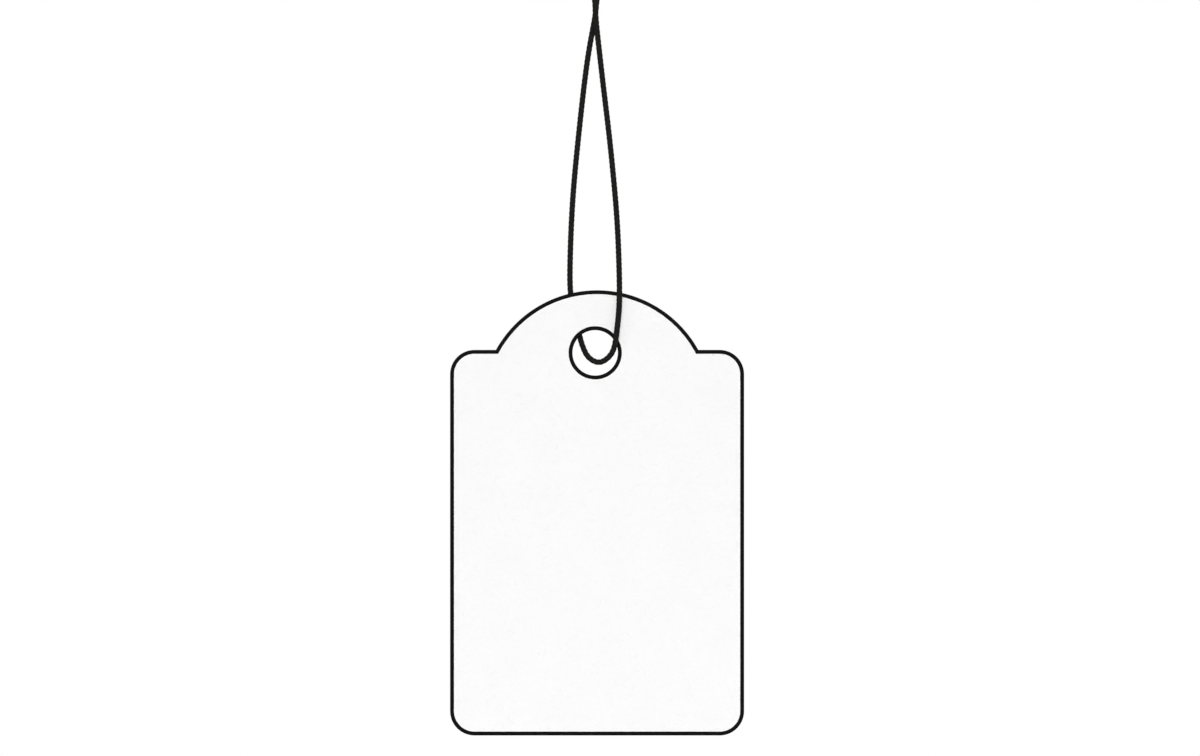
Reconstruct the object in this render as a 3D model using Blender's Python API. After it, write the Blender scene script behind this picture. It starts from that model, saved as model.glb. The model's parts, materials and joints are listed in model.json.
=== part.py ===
"""Strung price tag: a die-cut card with a punched hole, hanging on a doubled string.

Metres, +Z up, +X to the right and +Y away from someone who reads the front of the card.
The origin is where the tag hangs: the top of the string's eye, under its knot.
"""

import math

import bpy
import numpy as np

# Card
CARD_WIDTH = 0.0350
CARD_HEIGHT = 0.0530
CARD_THICKNESS = 0.0004
SHOULDER_HEIGHT = 0.0459
HEAD_WIDTH = 0.0241
CORNER_RADIUS = 0.0029

# Punched hole, measured from the top of the head and from the card's centre line
HOLE_DIAMETER = 0.0054
HOLE_DROP = 0.00745
HOLE_OFFSET = -0.00023

# String, and the gap that it keeps to the card and to itself
STRING_DIAMETER = 0.0006
STRING_CLEARANCE = 0.0002

# Drops below the point where the tag hangs
CARD_DROP = 0.0410
CROSSING_DROP = 0.0080
TWIST_DROP = 0.0070

# Sideways places of the string
CROSSING_OFFSET = -0.00019
FRONT_REACH = 0.00284
REAR_REACH = 0.00304
EYE_WIDTH = 0.0034
KNOT_RISE = 0.0006

# Joints
FLAP_RISE = 0.0030
FLAP_LIMIT = math.radians(45)
FLAP_MARGIN = 0.00005
TWIST_GAP = 0.0003

# Values that follow from those above
PAIR = STRING_DIAMETER + STRING_CLEARANCE
LIE = CARD_THICKNESS / 2 + STRING_CLEARANCE + STRING_DIAMETER / 2
HOLE_RADIUS = HOLE_DIAMETER / 2
HOLE_Z = -CARD_DROP - HOLE_DROP
FLAP_Z = -CARD_DROP + FLAP_RISE
FLAP_GAP = 2 * ((LIE + STRING_DIAMETER / 2) * math.tan(FLAP_LIMIT / 2) + FLAP_MARGIN)

# The string's route, from the front end's tail to the rear end's tail.
# Eye: share of half its width, share of the drop to the crossing.
EYE = [(0.42, 0.06), (0.82, 0.18), (1.0, 0.32), (0.89, 0.45), (0.57, 0.575), (0.25, 0.69), (0.08, 0.80)]
# Runs: share of the reach to one side, share of the way from the crossing down to the card's top.
FRONT_RUN = [(0.13, 0.115), (0.35, 0.28), (0.57, 0.44), (0.76, 0.60), (0.91, 0.76), (0.99, 0.925)]
REAR_RUN = [(0.22, 0.115), (0.47, 0.28), (0.66, 0.44), (0.83, 0.60), (0.945, 0.76), (1.0, 0.925)]
# Bight, from the hole's centre in hole radii: across, up, and from -1 in front of the card to 1 behind it.
BIGHT = [
    (1.07, 2.47, -1.0),
    (1.04, 1.80, -1.0),
    (0.95, 0.92, -1.0),
    (0.83, 0.22, -1.0),
    (0.615, -0.165, -0.72),
    (0.165, -0.412, -0.12),
    (-0.31, -0.165, 0.50),
    (-0.52, 0.215, 0.86),
    (-0.64, 0.57, 1.0),
    (-0.84, 1.45, 1.0),
    (-1.06, 2.45, 1.0),
]
# Upper half of the overhand knot, in string spacings from its centre: across, back, up.
# The lower half is the same half turned end for end about the line across.
KNOT = [
    (1.5, 0.0, 0.0),
    (1.0, 1.05, -1.9),
    (-0.55, 0.8, -2.35),
    (-1.6, -0.95, -1.5),
    (-1.4, -1.0, 0.35),
    (0.4, 0.75, 1.35),
    (0.8, 0.95, 2.85),
    (0.55, 0.25, 3.9),
    (0.0, 0.0, 4.9),
]
# Tails, from where they leave the knot, in string spacings: across, back, up.
FRONT_TAIL = [(-0.7, -0.2, 1.8), (-1.9, -0.3, 3.8), (-2.9, 0.0, 5.8)]
REAR_TAIL = [(0.9, 0.1, 1.7), (2.3, 0.4, 3.3), (3.8, 0.3, 4.6)]


def arc(centre, radius, first, last, steps):
    """Points of a circular arc between two angles in degrees, in the card's plane."""
    angles = np.radians(np.linspace(first, last, steps + 1))
    return [(centre[0] + radius * math.cos(a), centre[1] + radius * math.sin(a)) for a in angles]


def card_outline():
    """The card's edge, anticlockwise from the lower right corner, with (0, 0) at the hole's centre."""
    left = -CARD_WIDTH / 2 - HOLE_OFFSET
    right = CARD_WIDTH / 2 - HOLE_OFFSET
    bottom = HOLE_DROP - CARD_HEIGHT
    shoulder = bottom + SHOULDER_HEIGHT
    r = CORNER_RADIUS
    rise = CARD_HEIGHT - SHOULDER_HEIGHT
    head_radius = (HEAD_WIDTH**2 / 4 + rise**2) / (2 * rise)
    head_centre = (-HOLE_OFFSET, HOLE_DROP - head_radius)
    foot = math.degrees(math.asin((head_radius - rise) / head_radius))
    return (
        arc((right - r, bottom + r), r, -90, 0, 8)
        + arc((right - r, shoulder - r), r, 0, 90, 8)
        + arc(head_centre, head_radius, foot, 180 - foot, 36)
        + arc((left + r, shoulder - r), r, 90, 180, 8)
        + arc((left + r, bottom + r), r, 180, 270, 8)
    )


def smooth(points, per_gap=60):
    """A natural cubic spline through the points, spaced by the square root of their distances."""
    p = np.array(points)
    t = np.concatenate([[0], np.cumsum(np.sqrt(np.linalg.norm(np.diff(p, axis=0), axis=1)))])
    h = np.diff(t)[:, None]
    slope = np.diff(p, axis=0) / h
    system = np.eye(len(p))
    bend = np.zeros_like(p)
    inner = np.arange(1, len(p) - 1)
    system[inner, inner - 1] = h[:-1, 0]
    system[inner, inner] = 2 * (h[:-1, 0] + h[1:, 0])
    system[inner, inner + 1] = h[1:, 0]
    bend[inner] = 6 * np.diff(slope, axis=0)
    bend = np.linalg.solve(system, bend)
    u = np.linspace(0, t[-1], per_gap * (len(p) - 1) + 1)
    k = np.clip(np.searchsorted(t, u, side="right") - 1, 0, len(p) - 2)
    x = (u - t[k])[:, None]
    start = slope[k] - h[k] * (2 * bend[k] + bend[k + 1]) / 6
    return p[k] + x * start + x**2 * bend[k] / 2 + x**3 * (bend[k + 1] - bend[k]) / (6 * h[k])


def even(path, step):
    """The path again, with its points about one step apart."""
    s = np.concatenate([[0], np.cumsum(np.linalg.norm(np.diff(path, axis=0), axis=1))])
    u = np.linspace(0, s[-1], max(2, round(s[-1] / step) + 1))
    return np.column_stack([np.interp(u, s, path[:, i]) for i in range(3)])


def knot_strand(side):
    """One of the two strands that lie side by side through the knot, from its foot to its top."""
    half = PAIR * np.array(KNOT)
    line = np.vstack([(half[1:] * (1, -1, -1))[::-1], half])
    along = np.gradient(line, axis=0)
    along /= np.linalg.norm(along, axis=1)[:, None]
    across = np.array([0.0, 1.0, 0.0]) - along[:, 1:2] * along
    across /= np.linalg.norm(across, axis=1)[:, None]
    foot = np.array([0, 0, KNOT_RISE + half[-1, 2]])
    return line + foot + side * PAIR / 2 * across


def string_end(side, tail):
    """Tail, knot and eye of one end, in order from the tail. The front end is side -1."""
    knot = knot_strand(side)
    free = [knot[-1] + PAIR * np.array(p) for p in reversed(tail)]
    lean = CROSSING_OFFSET
    eye = [(side * EYE_WIDTH / 2 * w + lean * f, side * PAIR / 2, -CROSSING_DROP * f) for w, f in EYE]
    return free + list(knot[::-1]) + eye


def string_run(side, reach, run):
    """The stretch from the crossing to the card's top, spreading to lie against the card's face."""
    drop = CARD_DROP - CROSSING_DROP
    points = [(CROSSING_OFFSET, side * PAIR / 2, -CROSSING_DROP)]
    for w, f in run:
        depth = PAIR / 2 + (LIE - PAIR / 2) * f
        points.append((CROSSING_OFFSET - side * reach * w, side * depth, -CROSSING_DROP - drop * f))
    return points


def string_path():
    """The whole string, finely spaced, from the front tail round through the hole to the rear tail."""
    bight = [(HOLE_OFFSET + HOLE_RADIUS * x, LIE * y, HOLE_Z + HOLE_RADIUS * z) for x, z, y in BIGHT]
    front = string_end(-1, FRONT_TAIL) + string_run(-1, FRONT_REACH, FRONT_RUN)
    rear = string_end(1, REAR_TAIL) + string_run(1, REAR_REACH, REAR_RUN)
    return smooth(front + bight + rear[::-1])


def material(name, colour, roughness):
    made = bpy.data.materials.new(name)
    made.use_nodes = True
    shader = made.node_tree.nodes["Principled BSDF"]
    shader.inputs["Base Color"].default_value = (*colour, 1.0)
    shader.inputs["Roughness"].default_value = roughness
    return made


def place(collection, name, curve, location, look):
    """Puts a curve in the model as one named piece."""
    piece = bpy.data.objects.new(name, curve)
    piece.location = location
    curve.materials.append(look)
    collection.objects.link(piece)
    return piece


def make_card(collection):
    """Tag board, cut to its outline and punched. Its origin is on the axis that it swings about."""
    curve = bpy.data.curves.new("tag_card", "CURVE")
    curve.dimensions = "2D"
    curve.fill_mode = "BOTH"
    curve.extrude = CARD_THICKNESS / 2
    for points in (card_outline(), arc((0, 0), HOLE_RADIUS, 0, 352.5, 47)):
        spline = curve.splines.new("POLY")
        spline.points.add(len(points) - 1)
        spline.points.foreach_set("co", np.array([(x, y, 0, 1) for x, y in points]).ravel())
        spline.use_cyclic_u = True
    look = material("white_tag_board", (0.93, 0.93, 0.92), 0.75)
    card = place(collection, "tag_card", curve, (HOLE_OFFSET, 0, HOLE_Z), look)
    card.rotation_euler = (math.pi / 2, 0, 0)


def make_cord(collection, name, path, step, origin):
    """One stretch of the string as a round tube with flat ends."""
    points = even(path, step) - np.array(origin)
    curve = bpy.data.curves.new(name, "CURVE")
    curve.dimensions = "3D"
    curve.bevel_depth = STRING_DIAMETER / 2
    curve.bevel_resolution = 2
    curve.use_fill_caps = True
    spline = curve.splines.new("POLY")
    spline.points.add(len(points) - 1)
    spline.points.foreach_set("co", np.column_stack([points, np.ones(len(points))]).ravel())
    place(collection, name, curve, origin, material(name + "_black_cotton", (0.012, 0.012, 0.011), 0.8))


def make_string(collection):
    """Five stretches, parted where the string twists above the crossing and bends above the card."""
    path = string_path()
    levels = (
        -TWIST_DROP + TWIST_GAP / 2,
        -TWIST_DROP - TWIST_GAP / 2,
        FLAP_Z + FLAP_GAP / 2,
        FLAP_Z - FLAP_GAP / 2,
    )
    down = [int(np.argmax(path[:, 2] < z)) for z in levels]
    up = [len(path) - int(np.argmax(path[::-1, 2] < z)) for z in levels]
    top, twist, flap = (0, 0, 0), (0, 0, -TWIST_DROP), (0, 0, FLAP_Z)
    fine, coarse = STRING_DIAMETER * 0.8, STRING_DIAMETER * 2.5
    make_cord(collection, "string_front_end", path[: down[0]], fine, top)
    make_cord(collection, "string_front_run", path[down[1] : down[2]], coarse, twist)
    make_cord(collection, "string_bight", path[down[3] : up[3]], fine, flap)
    make_cord(collection, "string_rear_run", path[up[2] : up[1]], coarse, twist)
    make_cord(collection, "string_rear_end", path[up[0] :], fine, top)


for old in list(bpy.data.objects):
    bpy.data.objects.remove(old)
tag = bpy.data.collections.new("strung_price_tag")
bpy.context.scene.collection.children.link(tag)
make_card(tag)
make_string(tag)
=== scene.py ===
import json
import math

import bpy
import numpy as np
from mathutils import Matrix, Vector


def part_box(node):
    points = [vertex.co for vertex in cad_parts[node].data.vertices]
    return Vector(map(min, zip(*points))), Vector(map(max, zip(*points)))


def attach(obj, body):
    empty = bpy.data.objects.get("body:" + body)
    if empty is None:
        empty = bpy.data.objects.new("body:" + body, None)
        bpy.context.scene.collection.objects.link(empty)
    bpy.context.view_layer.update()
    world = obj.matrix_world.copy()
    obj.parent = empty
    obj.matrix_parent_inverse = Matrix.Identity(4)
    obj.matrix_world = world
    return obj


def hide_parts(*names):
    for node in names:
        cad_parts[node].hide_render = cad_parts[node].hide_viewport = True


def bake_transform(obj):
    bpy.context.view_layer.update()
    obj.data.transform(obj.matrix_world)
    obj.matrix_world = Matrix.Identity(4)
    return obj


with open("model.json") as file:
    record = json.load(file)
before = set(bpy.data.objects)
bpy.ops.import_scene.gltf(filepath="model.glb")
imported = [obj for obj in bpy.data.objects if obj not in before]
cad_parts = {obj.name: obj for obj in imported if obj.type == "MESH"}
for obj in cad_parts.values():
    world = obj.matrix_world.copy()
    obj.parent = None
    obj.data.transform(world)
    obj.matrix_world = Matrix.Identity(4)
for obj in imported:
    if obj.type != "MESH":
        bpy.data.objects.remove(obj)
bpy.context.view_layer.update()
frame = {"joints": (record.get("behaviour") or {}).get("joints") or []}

# The card
# One sheet of white tag board, die-cut to a rounded rectangle with flat shoulders and a domed head, and
# punched once. A thin black line is printed round its edge and hole, and the cut edges are inked to match.
MICROMETRE_DECIMALS = 6  # the frame's numbers are 32-bit, so they are read to the nearest micrometre
card_low, card_high = (np.round(corner, MICROMETRE_DECIMALS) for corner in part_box("tag_card"))
CARD_WIDTH, CARD_THICKNESS, CARD_HEIGHT = card_high - card_low
CARD_FOOT, CARD_TOP = card_low[2], card_high[2]
SHOULDER_HEIGHT = 0.0459
HEAD_WIDTH = 0.0241
CORNER_RADIUS = 0.0029
NECK_RADIUS = 0.00005
EDGE_RADIUS = 0.00006
HOLE_RADIUS = 0.0027
PRINTED_LINE = 0.00047

HEAD_RISE = CARD_HEIGHT - SHOULDER_HEIGHT
HEAD_RADIUS = (HEAD_WIDTH**2 / 4 + HEAD_RISE**2) / (2 * HEAD_RISE)
joint_place = {joint["name"]: joint["pos_m"] for joint in frame["joints"]}
HOLE_X, _, HOLE_Z = joint_place["card_swing"]

# Rows of points: round each rounded edge, beside it in widths of the printed line, and across the sheet.
EDGE_ROWS = 5
LINE_ROWS = (0.35, 0.7, 0.9, 1.0, 1.1, 1.6)
SHEET_ROWS = 14
# Points in a row, along each stretch of the cut edge.
FOOT_POINTS, SIDE_POINTS, SHOULDER_POINTS = 36, 44, 5
CORNER_POINTS, NECK_POINTS, HEAD_POINTS = 14, 12, 96


def straight(start, end, count):
    """Points start + (end - start) t of a straight cut, and their outward normals, which lie to the right
    of the way along it."""
    start, end = np.array(start), np.array(end)
    t = (np.arange(count) / count)[:, None]
    along = (end - start) / np.linalg.norm(end - start)
    return start + (end - start) * t, np.tile((along[1], -along[0]), (count, 1))


def bend(centre, radius, first, last, count):
    """Points centre + radius (cos a, sin a) of a rounded cut, and their outward normals. A clockwise cut is
    hollow, so its normals point to the centre."""
    a = np.radians(first + (last - first) * np.arange(count) / count)
    ray = np.column_stack([np.cos(a), np.sin(a)])
    return np.array(centre) + radius * ray, np.sign(last - first) * ray


def card_outline():
    """The cut edge, anticlockwise from the lower left corner: points, outward normals, and the angle round
    the hole that each point is joined to across the sheet, so that no two of those lines cross."""
    r = CORNER_RADIUS
    x = CARD_WIDTH / 2 - r
    right = CARD_WIDTH / 2
    top = SHOULDER_HEIGHT
    middle = CARD_HEIGHT - HEAD_RADIUS
    neck_z = top + NECK_RADIUS
    neck_x = math.sqrt((HEAD_RADIUS + NECK_RADIUS) ** 2 - (neck_z - middle) ** 2)
    head_start = math.degrees(math.atan2(neck_z - middle, neck_x))
    cuts = [
        (straight((-x, 0), (x, 0), FOOT_POINTS), -111, -69),
        (bend((x, r), r, -90, 0, CORNER_POINTS), -69, -64),
        (straight((right, r), (right, top - r), SIDE_POINTS), -64, -17),
        (bend((x, top - r), r, 0, 90, CORNER_POINTS), -17, -12),
        (straight((x, top), (neck_x, top), SHOULDER_POINTS), -12, -6),
        (bend((neck_x, neck_z), NECK_RADIUS, -90, head_start - 180, NECK_POINTS), -6, -4),
        (bend((0, middle), HEAD_RADIUS, head_start, 180 - head_start, HEAD_POINTS), -4, 184),
        (bend((-neck_x, neck_z), NECK_RADIUS, -head_start, -90, NECK_POINTS), 184, 186),
        (straight((-neck_x, top), (-x, top), SHOULDER_POINTS), 186, 192),
        (bend((-x, top - r), r, 90, 180, CORNER_POINTS), 192, 197),
        (straight((-right, top - r), (-right, r), SIDE_POINTS), 197, 244),
        (bend((-x, r), r, 180, 270, CORNER_POINTS), 244, 249),
    ]
    points = np.vstack([cut[0] for cut, _, _ in cuts])
    normals = np.vstack([cut[1] for cut, _, _ in cuts])
    angles = np.concatenate([a + (b - a) * np.arange(len(c[0])) / len(c[0]) for c, a, b in cuts])
    return points + (0, CARD_FOOT), normals, np.radians(angles)


def edge_distance(x, z):
    """How far in from the nearest cut a point of the face is: max(into the rectangle, into the head), since
    the card is those two forms joined, so lines a set way in meet in a sharp corner at the necks; then
    min(that, distance to the hole's rim)."""
    into_head = HEAD_RADIUS - np.hypot(x, z - CARD_TOP + HEAD_RADIUS)
    half = SHOULDER_HEIGHT / 2
    out_x = np.abs(x) - CARD_WIDTH / 2 + CORNER_RADIUS
    out_z = np.abs(z - CARD_FOOT - half) - half + CORNER_RADIUS
    beyond = np.hypot(np.maximum(out_x, 0), np.maximum(out_z, 0)) + np.minimum(np.maximum(out_x, out_z), 0)
    to_rim = np.hypot(x - HOLE_X, z - HOLE_Z) - HOLE_RADIUS
    return np.minimum(np.maximum(CORNER_RADIUS - beyond, into_head), to_rim)


def card_surface():
    """The whole sheet as one closed ring of rings: from the cut edge in across the front to the hole,
    through it, and back out across the rear. A row of a rounded edge at the turn a lies r (1 - cos a) in
    and r (1 - sin a) below the face. Rows near a cut are the cut itself moved in; between those of the
    outer cut and those of the hole a row is (1 - v) outer + v hole."""
    outer, normal, angle = card_outline()
    ray = np.column_stack([np.cos(angle), np.sin(angle)])
    turn = np.radians(np.linspace(0, 90, EDGE_ROWS))
    flat = PRINTED_LINE * np.array(LINE_ROWS)
    inset = np.concatenate([EDGE_RADIUS * (1 - np.cos(turn)), flat])
    depth = CARD_THICKNESS / 2 - np.concatenate([EDGE_RADIUS * (1 - np.sin(turn)), 0 * flat])
    near_cut = outer - normal * inset[:, None, None]
    near_hole = np.array((HOLE_X, HOLE_Z)) + ray * (HOLE_RADIUS + inset)[:, None, None]
    v = (np.arange(1, SHEET_ROWS + 1) / (SHEET_ROWS + 1))[:, None, None]
    sheet = np.concatenate([near_cut, (1 - v) * near_cut[-1] + v * near_hole[-1], near_hole[::-1]])
    y = np.concatenate([depth, np.full(SHEET_ROWS, CARD_THICKNESS / 2), depth[::-1]])
    grid = np.concatenate([sheet, sheet[::-1]])
    y = np.concatenate([-y, y[::-1]])[:, None] + 0 * grid[..., 0]
    return np.stack([grid[..., 0], y, grid[..., 1]], axis=-1)


def grid_faces(rows, columns, rows_meet):
    """Four-sided faces of a grid whose columns close on themselves, and whose rows do too if they meet."""
    k, i = np.meshgrid(np.arange(rows if rows_meet else rows - 1), np.arange(columns), indexing="ij")
    k2, i2 = (k + 1) % rows, (i + 1) % columns
    corners = (k * columns + i, k * columns + i2, k2 * columns + i2, k2 * columns + i)
    return np.stack([c.ravel() for c in corners], axis=1).tolist()


def make_piece(name, points, faces, look):
    """A smooth-shaded mesh object at the origin, with its place in its points."""
    mesh = bpy.data.meshes.new(name)
    mesh.from_pydata(points.reshape(-1, 3).tolist(), [], faces)
    mesh.polygons.foreach_set("use_smooth", np.ones(len(mesh.polygons), bool))
    mesh.materials.append(look)
    piece = bpy.data.objects.new(name, mesh)
    bpy.context.scene.collection.objects.link(piece)
    return piece


def linear(hex_colour):
    """An sRGB hex colour as the linear colour that a shader takes."""
    c = np.array([int(hex_colour[i : i + 2], 16) for i in (1, 3, 5)]) / 255
    return (*np.where(c <= 0.04045, c / 12.92, ((c + 0.055) / 1.055) ** 2.4), 1.0)


def add(tree, kind, inputs=None, **settings):
    """A shader node with its settings; an input is another node's output or a plain value."""
    node = tree.nodes.new(kind)
    for name, value in settings.items():
        setattr(node, name, value)
    for name, value in (inputs or {}).items():
        if isinstance(value, bpy.types.NodeSocket):
            tree.links.new(value, node.inputs[name])
        else:
            node.inputs[name].default_value = value
    return node


# The board's pattern. Its real tooth of 0.1 mm is drawn at 0.3 mm, which is as fine as shows. A fibre lies
# where drawn-out noise is high: it begins to show at one level of the noise and is full at the next.
PULP_WHITE, PULP_CLOUD = "#FEFEFE", "#F9F9F9"
CLOUD_WIDTH = 0.004
TOOTH_WIDTH, TOOTH_DEPTH, TOOTH_STRENGTH = 0.0003, 0.00003, 0.25
FIBRE_SHADE = "#F2F2F1"
FIBRE_LENGTH, FIBRE_WIDTH = 0.0015, 0.00012
FIBRE_DIRECTIONS = (15, 60, 100, 150)
FIBRE_BEND_EVERY, FIBRE_BEND = 0.002, 0.0012
FIBRE_BEGINS, FIBRE_FULL = 0.62, 0.80
# The ink's pattern, and how far its border wanders and softens.
INK_FULL, INK_THIN = "#040404", "#0D0C0C"
INK_PATCH_WIDTH = 0.0008
BORDER_WANDER, BORDER_SOFTNESS = 0.00002, 0.00001
# How dull the board and the ink are, and how little both shine.
BOARD_ROUGHNESS, INK_ROUGHNESS = 0.85, 0.62
CARD_SHINE = 0.05


def board_colour(tree, place):
    """White pulp, very slightly cloudy, with single fibres a shade darker than the rest, which lie all ways
    and are slightly bent. The pattern hardly changes through so thin a sheet."""
    clouds = add(tree, "ShaderNodeTexNoise", {"Vector": place, "Scale": 1 / CLOUD_WIDTH, "Detail": 3.0})
    pulp = add(
        tree,
        "ShaderNodeMix",
        {"Factor": clouds.outputs["Fac"], "A": linear(PULP_WHITE), "B": linear(PULP_CLOUD)},
        data_type="RGBA",
    )
    drift = add(tree, "ShaderNodeTexNoise", {"Vector": place, "Scale": 1 / FIBRE_BEND_EVERY, "Detail": 1.0})
    bent = add(
        tree,
        "ShaderNodeVectorMath",
        {0: drift.outputs["Color"], 1: (FIBRE_BEND,) * 3, 2: place},
        operation="MULTIPLY_ADD",
    )
    fibres = 0.0
    for direction in FIBRE_DIRECTIONS:
        lie = add(
            tree,
            "ShaderNodeMapping",
            {
                "Vector": bent.outputs["Vector"],
                "Rotation": (0, math.radians(direction), 0),
                "Scale": (FIBRE_LENGTH, 1.0, FIBRE_WIDTH),
            },
            vector_type="TEXTURE",
        )
        layer = add(
            tree,
            "ShaderNodeTexNoise",
            {"Vector": lie.outputs["Vector"], "Scale": 1.0, "Detail": 1.0},
        )
        darkest = add(tree, "ShaderNodeMath", {0: layer.outputs["Fac"], 1: fibres}, operation="MAXIMUM")
        fibres = darkest.outputs["Value"]
    shade = add(
        tree,
        "ShaderNodeMapRange",
        {"Value": fibres, "From Min": FIBRE_BEGINS, "From Max": FIBRE_FULL},
    )
    board = add(
        tree,
        "ShaderNodeMix",
        {"Factor": shade.outputs["Result"], "A": pulp.outputs["Result"], "B": linear(FIBRE_SHADE)},
        data_type="RGBA",
    )
    return board.outputs["Result"]


def printed_tag_board():
    """Uncoated tag board with a flat offset-printed line. The board is a dull white with a fine tooth. The
    ink lies in the tooth, so it is nearly black, dull and a little uneven, and its border wanders by about
    a hundredth of a millimetre."""
    look = bpy.data.materials.new("white_tag_board_printed_black")
    look.use_nodes = True
    tree = look.node_tree
    shader = tree.nodes["Principled BSDF"]
    place = add(tree, "ShaderNodeTexCoord").outputs["Object"]
    tooth = add(tree, "ShaderNodeTexNoise", {"Vector": place, "Scale": 1 / TOOTH_WIDTH, "Detail": 4.0})
    patches = add(tree, "ShaderNodeTexNoise", {"Vector": place, "Scale": 1 / INK_PATCH_WIDTH, "Detail": 3.0})
    ink = add(
        tree,
        "ShaderNodeMix",
        {"Factor": patches.outputs["Fac"], "A": linear(INK_FULL), "B": linear(INK_THIN)},
        data_type="RGBA",
    )
    edge = add(tree, "ShaderNodeAttribute", attribute_name="edge_distance")
    wander = add(
        tree,
        "ShaderNodeMapRange",
        {"Value": tooth.outputs["Fac"], "To Min": -BORDER_WANDER, "To Max": BORDER_WANDER},
    )
    wandered = add(
        tree,
        "ShaderNodeMath",
        {0: edge.outputs["Fac"], 1: wander.outputs["Result"]},
        operation="ADD",
    )
    inked = add(
        tree,
        "ShaderNodeMapRange",
        {
            "Value": wandered.outputs["Value"],
            "From Min": PRINTED_LINE - BORDER_SOFTNESS,
            "From Max": PRINTED_LINE + BORDER_SOFTNESS,
            "To Min": 1.0,
            "To Max": 0.0,
        },
    ).outputs["Result"]
    colour = add(
        tree,
        "ShaderNodeMix",
        {"Factor": inked, "A": board_colour(tree, place), "B": ink.outputs["Result"]},
        data_type="RGBA",
    )
    dullness = add(
        tree,
        "ShaderNodeMapRange",
        {"Value": inked, "To Min": BOARD_ROUGHNESS, "To Max": INK_ROUGHNESS},
    )
    bumps = add(
        tree,
        "ShaderNodeBump",
        {"Height": tooth.outputs["Fac"], "Strength": TOOTH_STRENGTH, "Distance": TOOTH_DEPTH},
    )
    tree.links.new(colour.outputs["Result"], shader.inputs["Base Color"])
    tree.links.new(dullness.outputs["Result"], shader.inputs["Roughness"])
    tree.links.new(bumps.outputs["Normal"], shader.inputs["Normal"])
    shader.inputs["Specular IOR Level"].default_value = CARD_SHINE
    return look


card_points = card_surface()
card = make_piece("card", card_points, grid_faces(*card_points.shape[:2], True), printed_tag_board())
card_edge = edge_distance(card_points[..., 0], card_points[..., 2]).ravel()
card.data.attributes.new("edge_distance", "FLOAT", "POINT").data.foreach_set("value", card_edge)
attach(card, "card")
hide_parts("tag_card")

# The string
# One length of thin black cotton, laid up from three plies and lightly waxed. Half of it is in front of the
# card and half behind; the halves cross, part again into an eye and are tied in one overhand knot.
STRING_DIAMETER = 0.0006
STRING_CLEARANCE = 0.0002
CROSSING_DROP = 0.0080
CROSSING_OFFSET = -0.00019
FRONT_REACH = 0.00284
REAR_REACH = 0.00304
EYE_WIDTH = 0.0034
KNOT_RISE = 0.0006
PAIR = STRING_DIAMETER + STRING_CLEARANCE
LIE = CARD_THICKNESS / 2 + STRING_CLEARANCE + STRING_DIAMETER / 2

# The route, from the front tail to the rear tail.
# Eye: share of half its width, share of the drop to the crossing.
EYE = [(0.42, 0.06), (0.82, 0.18), (1.0, 0.32), (0.89, 0.45), (0.57, 0.575), (0.25, 0.69), (0.08, 0.80)]
# Runs: share of the reach to one side, share of the way from the crossing down to the card's top.
FRONT_RUN = [(0.13, 0.115), (0.35, 0.28), (0.57, 0.44), (0.76, 0.60), (0.91, 0.76), (0.99, 0.925)]
REAR_RUN = [(0.22, 0.115), (0.47, 0.28), (0.66, 0.44), (0.83, 0.60), (0.945, 0.76), (1.0, 0.925)]
# Bight, from the hole's centre in hole radii: across, up, and from -1 in front of the card to 1 behind it.
BIGHT = [
    (1.07, 2.47, -1.0),
    (1.04, 1.80, -1.0),
    (0.95, 0.92, -1.0),
    (0.83, 0.22, -1.0),
    (0.615, -0.165, -0.72),
    (0.165, -0.412, -0.12),
    (-0.31, -0.165, 0.50),
    (-0.52, 0.215, 0.86),
    (-0.64, 0.57, 1.0),
    (-0.84, 1.45, 1.0),
    (-1.06, 2.45, 1.0),
]
# Upper half of the overhand knot, in string spacings from its centre: across, back, up.
# The lower half is the same half turned end for end about the line across.
KNOT = [
    (1.5, 0.0, 0.0),
    (1.0, 1.05, -1.9),
    (-0.55, 0.8, -2.35),
    (-1.6, -0.95, -1.5),
    (-1.4, -1.0, 0.35),
    (0.4, 0.75, 1.35),
    (0.8, 0.95, 2.85),
    (0.55, 0.25, 3.9),
    (0.0, 0.0, 4.9),
]
# Tails, from where they leave the knot, in string spacings: across, back, up.
FRONT_TAIL = [(-0.7, -0.2, 1.8), (-1.9, -0.3, 3.8), (-2.9, 0.0, 5.8)]
REAR_TAIL = [(0.9, 0.1, 1.7), (2.3, 0.4, 3.3), (3.8, 0.3, 4.6)]

# The plies: how far they stand out from the centre line, how long they take to turn once, and how deep the
# grooves between them are. Over its last stretch a cut tail opens by so much, and its grooves deepen.
PLY_RADIUS = 0.00035
LAY = 0.0017
GROOVE = 0.11
TAIL_LENGTH, TAIL_OPENING, TAIL_GROOVE = 0.0009, 0.25, 0.36
# Points: their spacing along the string, and how many go round it.
ROUTE_STEP = 0.00007
ROUND_POINTS = 24


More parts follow.
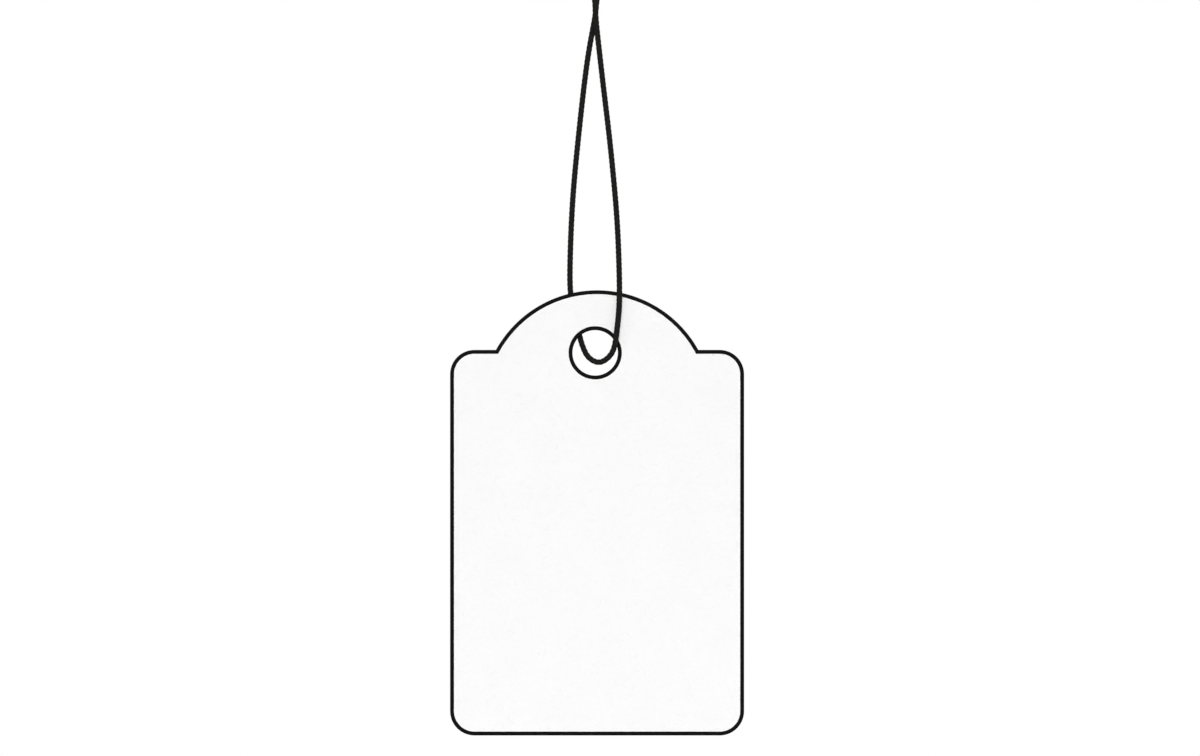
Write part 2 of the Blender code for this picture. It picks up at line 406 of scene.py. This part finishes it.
def smooth(points, per_gap=60):
    """A natural cubic spline through the points, spaced by the square root of their distances: from the
    point p a gap runs p + x s + x^2 b / 2 + x^3 (b' - b) / 6h, with s its first slope, h its length and
    b, b' the bending at its two ends, solved so that the slopes meet at every point."""
    p = np.array(points)
    t = np.concatenate([[0], np.cumsum(np.sqrt(np.linalg.norm(np.diff(p, axis=0), axis=1)))])
    h = np.diff(t)[:, None]
    slope = np.diff(p, axis=0) / h
    system = np.eye(len(p))
    bending = np.zeros_like(p)
    inner = np.arange(1, len(p) - 1)
    system[inner, inner - 1] = h[:-1, 0]
    system[inner, inner] = 2 * (h[:-1, 0] + h[1:, 0])
    system[inner, inner + 1] = h[1:, 0]
    bending[inner] = 6 * np.diff(slope, axis=0)
    bending = np.linalg.solve(system, bending)
    u = np.linspace(0, t[-1], per_gap * (len(p) - 1) + 1)
    k = np.clip(np.searchsorted(t, u, side="right") - 1, 0, len(p) - 2)
    x = (u - t[k])[:, None]
    start = slope[k] - h[k] * (2 * bending[k] + bending[k + 1]) / 6
    return p[k] + x * start + x**2 * bending[k] / 2 + x**3 * (bending[k + 1] - bending[k]) / (6 * h[k])


def directions(line):
    """Unit vectors along a line of points, and square to each the one that leans most to the back."""
    along = np.gradient(line, axis=0)
    along /= np.linalg.norm(along, axis=1)[:, None]
    back = np.array([0.0, 1.0, 0.0]) - along[:, 1:2] * along
    back /= np.linalg.norm(back, axis=1)[:, None]
    return along, back


def knot_strand(side):
    """One of the two strands that lie side by side through the knot, from its foot to its top: the knot's
    line, moved half a spacing to the front or to the back."""
    half = PAIR * np.array(KNOT)
    line = np.vstack([(half[1:] * (1, -1, -1))[::-1], half])
    foot = np.array([0, 0, KNOT_RISE + half[-1, 2]])
    return line + foot + side * PAIR / 2 * directions(line)[1]


def string_half(side, reach, run, tail):
    """Route points of one half, from its tail through knot and eye to the card's top. The front half is
    side -1 and the rear half side 1."""
    knot = knot_strand(side)
    free = [knot[-1] + PAIR * np.array(p) for p in reversed(tail)]
    drop = -CARD_TOP - CROSSING_DROP
    eye = [
        (side * EYE_WIDTH / 2 * w + CROSSING_OFFSET * f, side * PAIR / 2, -CROSSING_DROP * f) for w, f in EYE
    ]
    crossing = [(CROSSING_OFFSET, side * PAIR / 2, -CROSSING_DROP)]
    down = [
        (
            CROSSING_OFFSET - side * reach * w,
            side * (PAIR / 2 + (LIE - PAIR / 2) * f),
            -CROSSING_DROP - drop * f,
        )
        for w, f in run
    ]
    return free + list(knot[::-1]) + eye + crossing + down


def string_route():
    """The string's centre line, evenly spaced from the front tail to the rear tail, and the length so far."""
    bight = [(HOLE_X + HOLE_RADIUS * x, LIE * y, HOLE_Z + HOLE_RADIUS * z) for x, z, y in BIGHT]
    front = string_half(-1, FRONT_REACH, FRONT_RUN, FRONT_TAIL)
    rear = string_half(1, REAR_REACH, REAR_RUN, REAR_TAIL)
    line = smooth(front + bight + rear[::-1])
    s = np.concatenate([[0], np.cumsum(np.linalg.norm(np.diff(line, axis=0), axis=1))])
    even = np.linspace(0, s[-1], round(s[-1] / ROUTE_STEP) + 1)
    return np.column_stack([np.interp(even, s, line[:, i]) for i in range(3)]), even


def string_surface(line, length, fray):
    """Three plies laid up round the centre line: a section of radius R (1 - g (1 - |cos 1.5 a|)), a being
    the angle round it and g the depth of the groove between plies, that turns once in each lay. Towards
    a cut tail, where fray goes from 0 to 1, the plies open and the grooves deepen. Also gives where each
    point would be if the string were pulled straight and unlaid."""
    along, back = directions(line)
    side = np.cross(along, back)
    a = np.linspace(0, 2 * np.pi, ROUND_POINTS, endpoint=False)
    groove = GROOVE + TAIL_GROOVE * fray[:, None]
    radius = PLY_RADIUS * (1 + TAIL_OPENING * fray[:, None]) * (1 - groove * (1 - np.abs(np.cos(1.5 * a))))
    turned = a + 2 * np.pi * length[:, None] / LAY
    x, y = radius * np.cos(turned), radius * np.sin(turned)
    points = line[:, None] + x[..., None] * back[:, None] + y[..., None] * side[:, None]
    unlaid = np.stack([radius * np.cos(a), radius * np.sin(a), length[:, None] + 0 * radius], axis=-1)
    return points, unlaid


# The cotton's fibres of 0.02 mm are drawn 0.05 mm wide and 1 mm long, which is as fine as shows. A fibre
# that stands out is rubbed paler and duller than the waxed ones, from one level of the noise to the next.
COTTON_WIDTH, COTTON_LENGTH = 0.00005, 0.001
COTTON_DEPTH, COTTON_STRENGTH = 0.00004, 0.8
COTTON_DYED, COTTON_RUBBED = "#030303", "#2A2927"
RUBBED_BEGINS, RUBBED_FULL = 0.35, 0.75
WAXED_ROUGHNESS, RUBBED_ROUGHNESS = 0.65, 0.9
COTTON_SHINE = 0.10


def waxed_cotton():
    """Twisted cotton thread, dyed black and lightly waxed. The wax binds the fibres, so it is a soft
    near-black with faint streaks that run along each ply, and only a dull shine."""
    look = bpy.data.materials.new("black_waxed_cotton_twisted")
    look.use_nodes = True
    tree = look.node_tree
    shader = tree.nodes["Principled BSDF"]
    unlaid = add(tree, "ShaderNodeAttribute", attribute_name="unlaid")
    stretched = add(
        tree,
        "ShaderNodeMapping",
        {"Vector": unlaid.outputs["Vector"], "Scale": (COTTON_WIDTH, COTTON_WIDTH, COTTON_LENGTH)},
        vector_type="TEXTURE",
    )
    fibres = add(
        tree,
        "ShaderNodeTexNoise",
        {"Vector": stretched.outputs["Vector"], "Scale": 1.0, "Detail": 3.0},
    ).outputs["Fac"]
    streaks = add(
        tree,
        "ShaderNodeMapRange",
        {"Value": fibres, "From Min": RUBBED_BEGINS, "From Max": RUBBED_FULL},
    )
    colour = add(
        tree,
        "ShaderNodeMix",
        {"Factor": streaks.outputs["Result"], "A": linear(COTTON_DYED), "B": linear(COTTON_RUBBED)},
        data_type="RGBA",
    )
    bumps = add(
        tree,
        "ShaderNodeBump",
        {"Height": fibres, "Strength": COTTON_STRENGTH, "Distance": COTTON_DEPTH},
    )
    dullness = add(
        tree,
        "ShaderNodeMapRange",
        {"Value": fibres, "To Min": WAXED_ROUGHNESS, "To Max": RUBBED_ROUGHNESS},
    )
    tree.links.new(colour.outputs["Result"], shader.inputs["Base Color"])
    tree.links.new(dullness.outputs["Result"], shader.inputs["Roughness"])
    tree.links.new(bumps.outputs["Normal"], shader.inputs["Normal"])
    shader.inputs["Specular IOR Level"].default_value = COTTON_SHINE
    return look


route, route_length = string_route()
to_tail = np.minimum(route_length, route_length[-1] - route_length)
route_fray = np.clip(1 - to_tail / TAIL_LENGTH, 0, 1) ** 2
cotton = waxed_cotton()


def make_string(name, part):
    """One stretch of the route as a closed mesh, each end filled to a point at its middle."""
    line, length = route[part], route_length[part]
    points, unlaid = string_surface(line, length, route_fray[part])
    rows, columns = points.shape[:2]
    first, last = rows * columns, rows * columns + 1
    i = np.arange(columns)
    j = (i + 1) % columns
    start = np.column_stack([np.full(columns, first), j, i])
    end = np.column_stack([np.full(columns, last), first - columns + i, first - columns + j])
    faces = grid_faces(rows, columns, False) + start.tolist() + end.tolist()
    piece = make_piece(name, np.vstack([points.reshape(-1, 3), line[[0, -1]]]), faces, cotton)
    unlaid_ends = np.column_stack([[0, 0], [0, 0], length[[0, -1]]])
    unlaid_places = np.vstack([unlaid.reshape(-1, 3), unlaid_ends]).ravel()
    piece.data.attributes.new("unlaid", "FLOAT_VECTOR", "POINT").data.foreach_set("vector", unlaid_places)
    return piece


# The string's front half
# The half in front of the card, from its cut tail through knot and eye to well below the crossing.
SEAM_Z = -0.0270  # the height at which each half goes over into the loop
front_seam = int(np.argmax(route[:, 2] < SEAM_Z))
front_part = slice(0, front_seam + 1)
string_front = make_string("string_front", front_part)
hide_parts("string_front_end", "string_front_run")
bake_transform(string_front)

# The string's loop through the hole
# The middle of the string, down the front of the card, through the hole and up its back. It carries the card.
rear_seam = len(route) - 1 - int(np.argmax(route[::-1, 2] < SEAM_Z))
loop_part = slice(front_seam, rear_seam + 1)
string_loop = make_string("string_loop", loop_part)
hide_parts("string_bight")
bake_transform(string_loop)

# The string's rear half
# The half behind the card, from below the crossing up through eye and knot to its own cut tail. It is tied to
# the front half in the knot, side by side with it.
rear_part = slice(rear_seam, len(route))
string_rear = make_string("string_rear", rear_part)
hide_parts("string_rear_end", "string_rear_run")
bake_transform(string_rear)

# The white behind and the floor
# The tag hangs in front of plain white, over a round floor of matt white. The floor takes the tag's shadow
# and fades into the white behind it towards its rim.
WHITE = "#FFFFFF"
WHITE_BEHIND, LIGHT_AROUND = 1.0, 0.10
FLOOR_WHITE = "#FCFCFC"
FLOOR_Z, FLOOR_RADIUS = -0.124, 0.35
FLOOR_RINGS = (1.0, 0.5, 0.02)
FLOOR_STEP = 5  # degrees round the floor from one point to the next
FADE_START, FADE_END = 0.2 * FLOOR_RADIUS, 0.95 * FLOOR_RADIUS
WHITE_UNDER_TAG = 0.35


def even_white():
    """Plain white for the camera and in reflections, and a faint light on the tag from all around."""
    world = bpy.data.worlds.new("even_white")
    world.use_nodes = True
    tree = world.node_tree
    tree.nodes.clear()
    ray = add(tree, "ShaderNodeLightPath").outputs
    seen = ray["Is Camera Ray"]
    for reflected in ("Is Glossy Ray", "Is Transmission Ray"):
        either = add(tree, "ShaderNodeMath", {0: seen, 1: ray[reflected]}, operation="MAXIMUM")
        seen = either.outputs["Value"]
    around = add(tree, "ShaderNodeBackground", {"Color": linear(WHITE), "Strength": LIGHT_AROUND})
    behind = add(tree, "ShaderNodeBackground", {"Color": linear(WHITE), "Strength": WHITE_BEHIND})
    both = add(
        tree,
        "ShaderNodeMixShader",
        {0: seen, 1: around.outputs["Background"], 2: behind.outputs["Background"]},
    )
    add(tree, "ShaderNodeOutputWorld", {"Surface": both.outputs["Shader"]})
    return world


def pale_floor():
    """Matt white studio floor. It shades under the tag and fades to the white behind towards its rim."""
    look = bpy.data.materials.new("matt_white_floor")
    look.use_nodes = True
    tree = look.node_tree
    tree.nodes.clear()
    ray = add(tree, "ShaderNodeLightPath").outputs
    place = add(tree, "ShaderNodeTexCoord").outputs["Object"]
    flat = add(tree, "ShaderNodeVectorMath", {0: place, 1: (1.0, 1.0, 0.0)}, operation="MULTIPLY")
    out = add(tree, "ShaderNodeVectorMath", {0: flat.outputs["Vector"]}, operation="LENGTH")
    fade = add(
        tree,
        "ShaderNodeMapRange",
        {
            "Value": out.outputs["Value"],
            "From Min": FADE_START,
            "From Max": FADE_END,
            "To Min": WHITE_UNDER_TAG,
            "To Max": 1.0,
        },
        interpolation_type="SMOOTHSTEP",
    )
    seen = add(
        tree,
        "ShaderNodeMath",
        {0: ray["Is Camera Ray"], 1: fade.outputs["Result"]},
        operation="MULTIPLY",
    )
    matt = add(tree, "ShaderNodeBsdfDiffuse", {"Color": linear(FLOOR_WHITE)})
    white = add(tree, "ShaderNodeEmission", {"Color": linear(WHITE), "Strength": WHITE_BEHIND})
    mixed = add(
        tree,
        "ShaderNodeMixShader",
        {0: seen.outputs["Value"], 1: matt.outputs["BSDF"], 2: white.outputs["Emission"]},
    )
    add(tree, "ShaderNodeOutputMaterial", {"Surface": mixed.outputs["Shader"]})
    return look


bpy.context.scene.world = even_white()
around_floor = np.radians(np.arange(0, 360, FLOOR_STEP))
ring = np.column_stack([np.cos(around_floor), np.sin(around_floor), 0 * around_floor])
floor_points = ring * FLOOR_RADIUS * np.array(FLOOR_RINGS)[:, None, None] + (0, 0, FLOOR_Z)
inner_ring = (len(FLOOR_RINGS) - 1) * len(ring) + np.arange(len(ring))
floor_faces = grid_faces(len(FLOOR_RINGS), len(ring), False) + [inner_ring.tolist()]
make_piece("floor", floor_points, floor_faces, pale_floor())

# The lamps
# Two upright soft boxes above the tag, one in front of it and one behind. They light both faces of the
# card evenly, at a level that keeps its white just short of the white behind.
LAMP_WIDTH, LAMP_HEIGHT = 0.3, 0.6
FRONT_PLACE, FRONT_WATTS = (0.0, -1.0, 0.45), 9.4
BACK_PLACE, BACK_WATTS = (0.0, 0.9, 0.50), 8.4
TAG_MIDDLE = (0, 0, -0.055)


def soft_lamp(name, place, watts):
    """A soft box at its place, turned to face the middle of the tag."""
    lamp = bpy.data.lights.new(name, "AREA")
    lamp.shape = "RECTANGLE"
    lamp.size = LAMP_WIDTH
    lamp.size_y = LAMP_HEIGHT
    lamp.energy = watts
    box = bpy.data.objects.new(name, lamp)
    box.location = place
    box.rotation_euler = (Vector(TAG_MIDDLE) - Vector(place)).to_track_quat("-Z", "Y").to_euler()
    bpy.context.scene.collection.objects.link(box)


soft_lamp("front_lamp", FRONT_PLACE, FRONT_WATTS)
soft_lamp("back_lamp", BACK_PLACE, BACK_WATTS)

# The camera
# It looks square on at the front of the card, from far enough to show no perspective in it. Pixels of its
# picture place the tag: the centre line's pixel across and the card's lower edge's pixel down.
PICTURE_WIDTH, PICTURE_HEIGHT = 1200, 756
CENTRE_LINE_ACROSS, LOWER_EDGE_DOWN = 597.10, 735.45
PIXEL = 0.00011905  # metres of the card in one pixel
CAMERA_DISTANCE = 1.2
camera = bpy.data.cameras.new("camera")
camera.lens = camera.sensor_width * CAMERA_DISTANCE / (PICTURE_WIDTH * PIXEL)
camera.clip_end = 20.0
viewer = bpy.data.objects.new("camera", camera)
viewer.location = (
    (PICTURE_WIDTH / 2 - CENTRE_LINE_ACROSS) * PIXEL,
    -CAMERA_DISTANCE,
    CARD_FOOT + (LOWER_EDGE_DOWN - PICTURE_HEIGHT / 2) * PIXEL,
)
viewer.rotation_euler = (math.pi / 2, 0, 0)
bpy.context.scene.collection.objects.link(viewer)
bpy.context.scene.camera = viewer
bpy.context.scene.view_settings.view_transform = "Standard"
